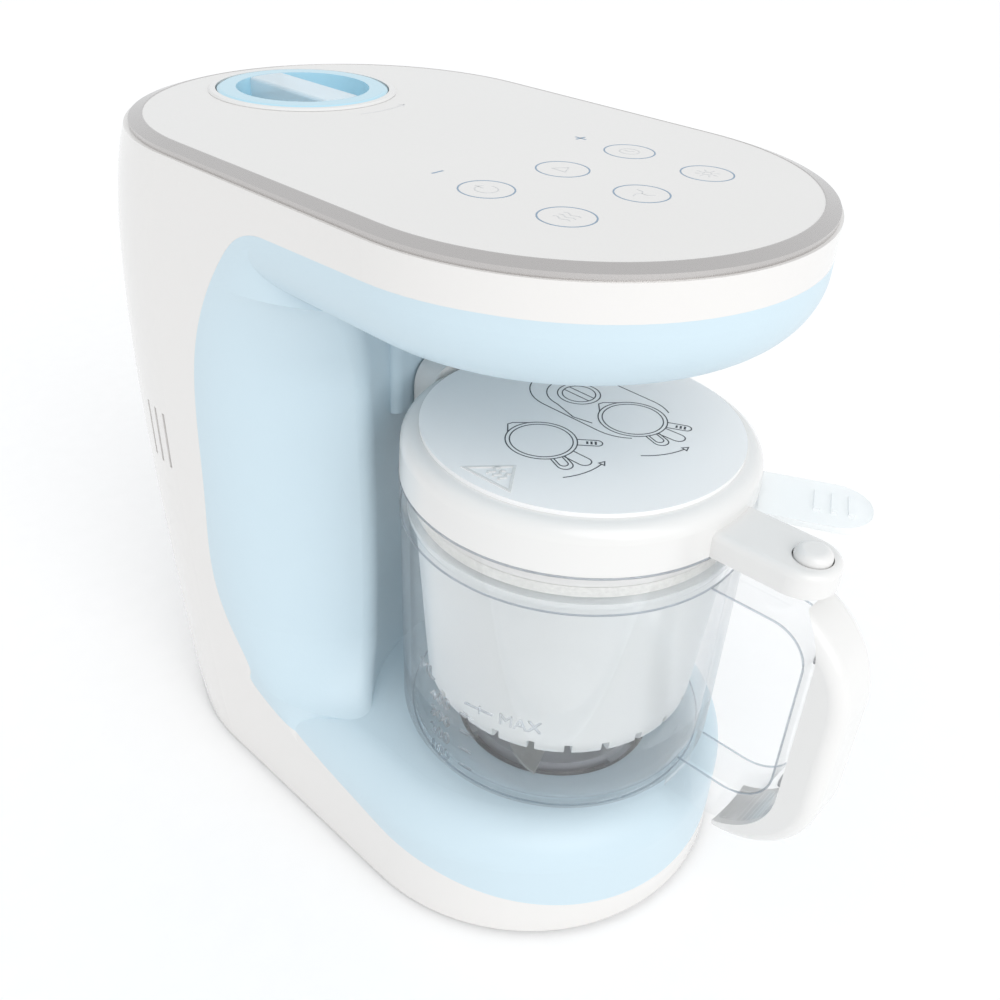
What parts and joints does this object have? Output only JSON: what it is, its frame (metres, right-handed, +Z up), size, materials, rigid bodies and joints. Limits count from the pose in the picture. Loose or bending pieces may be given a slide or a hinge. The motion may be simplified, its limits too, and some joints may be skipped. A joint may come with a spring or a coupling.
{
  "type": "baby food maker",
  "caption": "Countertop baby food maker with a C-shaped housing, touch panel, steam tank with screw cap, and a clear blender jug with handle, steaming basket and locking lid.",
  "frame": {"origin": "centre of the overall plan box at the bottom of the feet", "axes": "+Z up, -Y towards the jug handle (front), +X to the right seen from the front"},
  "size_m": [0.162, 0.3272, 0.2644],
  "materials": {
    "shell_white": "gloss",
    "liner_blue": "satin",
    "ring_silver": "satin",
    "panel_white": "gloss",
    "lid_white": "satin",
    "disc_grey": "gloss",
    "clear_plastic": "clear",
    "frosted_plastic": "frosted",
    "cap_blue": "satin",
    "cap_clear": "clear",
    "silicone": "matt",
    "black_rubber": "matt",
    "grey_plastic": "matt",
    "natural_plastic": "matt",
    "blade_steel": "brushed",
    "steel": "plain",
    "aluminium": "cast",
    "copper_winding": "enamelled",
    "circuit_green": "matt",
    "dark_plastic": "matt"
  },
  "bodies": {
    "housing": {"outer_shell": "shell_white", "inner_liner": "liner_blue", "trim_ring": "ring_silver", "top_panel": "panel_white", "filler_bezel": "lid_white", "bottom_cover": "grey_plastic", "rubber_feet": "black_rubber", "case_screws": "steel", "cord_gland": "dark_plastic", "water_tank": "natural_plastic", "heater_seal": "silicone", "heater_plate": "aluminium", "thermostat": "dark_plastic", "thermal_fuse": "steel", "steam_pipe": "silicone", "steam_outlet": "natural_plastic", "outlet_seal": "silicone", "control_board": "circuit_green", "touch_springs": "steel", "buzzer": "dark_plastic", "power_board": "circuit_green", "interlock_switch": "dark_plastic", "motor_can": "steel", "stator": "copper_winding", "motor_bearings": "steel", "motor_plate": "grey_plastic", "motor_screws": "steel", "drive_belt": "black_rubber", "spindle_housing": "grey_plastic", "spindle_bearings": "steel", "plunger_spring": "steel"},
    "motor_rotor": {"rotor": "copper_winding", "motor_shaft": "steel", "motor_pulley": "natural_plastic", "cooling_fan": "dark_plastic"},
    "drive_spindle": {"spindle": "steel", "spindle_pulley": "natural_plastic", "drive_coupler": "dark_plastic"},
    "jug_lock": {"lock_ring": "ring_silver"},
    "jug": {"jug_body": "clear_plastic", "handle_cover": "lid_white", "cover_screws": "steel", "jug_collar": "grey_plastic", "blade_bush": "natural_plastic", "shaft_seal": "silicone"},
    "blades": {"blade_shaft": "steel", "driven_coupler": "dark_plastic", "blade_hub": "lid_white", "lower_blade": "blade_steel", "upper_blade": "blade_steel"},
    "basket": {"steam_basket": "frosted_plastic"},
    "lid_seal": {"lid_gasket": "silicone"},
    "lid": {"lid": "lid_white", "lid_disc": "disc_grey", "release_spring": "steel"},
    "lid_button": {"release_button": "lid_white"},
    "plunger": {"interlock_plunger": "lid_white"},
    "cap_seal": {"cap_gasket": "silicone"},
    "cap": {"tank_cap": "cap_blue", "cap_grip": "cap_clear"}
  },
  "joints": [
    {"name": "motor_spin", "type": "hinge", "parent": "housing", "child": "motor_rotor", "pos_m": [0, 0.085, 0.09], "axis": [0, 0, 1], "continuous": true},
    {"name": "spindle_spin", "type": "hinge", "parent": "housing", "child": "drive_spindle", "pos_m": [0, -0.0495, 0.03], "axis": [0, 0, 1], "continuous": true},
    {"name": "jug_turn", "type": "hinge", "parent": "housing", "child": "jug_lock", "pos_m": [0, -0.0495, 0.04], "axis": [0, 0, 1], "range_deg": [-35, 0]},
    {"name": "jug_lift", "type": "slide", "parent": "jug_lock", "child": "jug", "axis": [0, 0, 1], "range_m": [0, 0.012]},
    {"name": "blade_spin", "type": "hinge", "parent": "jug", "child": "blades", "pos_m": [0, -0.0495, 0.06], "axis": [0, 0, 1], "continuous": true},
    {"name": "basket_lift", "type": "slide", "parent": "jug", "child": "basket", "axis": [0, 0, 1], "range_m": [0, 0.009]},
    {"name": "lid_lift", "type": "slide", "parent": "jug", "child": "lid_seal", "axis": [0, 0, 1], "range_m": [0, 0.02]},
    {"name": "lid_turn", "type": "hinge", "parent": "lid_seal", "child": "lid", "pos_m": [0, -0.0495, 0.165], "axis": [0, 0, 1], "range_deg": [-20, 0]},
    {"name": "button_press", "type": "slide", "parent": "lid", "child": "lid_button", "axis": [0, 0, -1], "range_m": [0, 0.002], "stiffness_N_per_m": 400, "deforming": ["release_spring"]},
    {"name": "plunger_press", "type": "slide", "parent": "housing", "child": "plunger", "axis": [0, 0, -1], "range_m": [0, 0.002], "stiffness_N_per_m": 300, "deforming": ["plunger_spring"]},
    {"name": "cap_lift", "type": "slide", "parent": "housing", "child": "cap_seal", "axis": [0, 0, 1], "range_m": [0, 0.03]},
    {"name": "cap_turn", "type": "hinge", "parent": "cap_seal", "child": "cap", "pos_m": [0, 0.0968, 0.255], "axis": [0, 0, 1], "range_deg": [0, 60]}
  ],
  "couplings": [
    {"joint": "spindle_spin", "follows": "motor_spin", "ratio": 0.4},
    {"joint": "blade_spin", "follows": "motor_spin", "ratio": 0.4},
    {"joint": "basket_lift", "follows": "lid_lift", "ratio": 0.45}
  ]
}
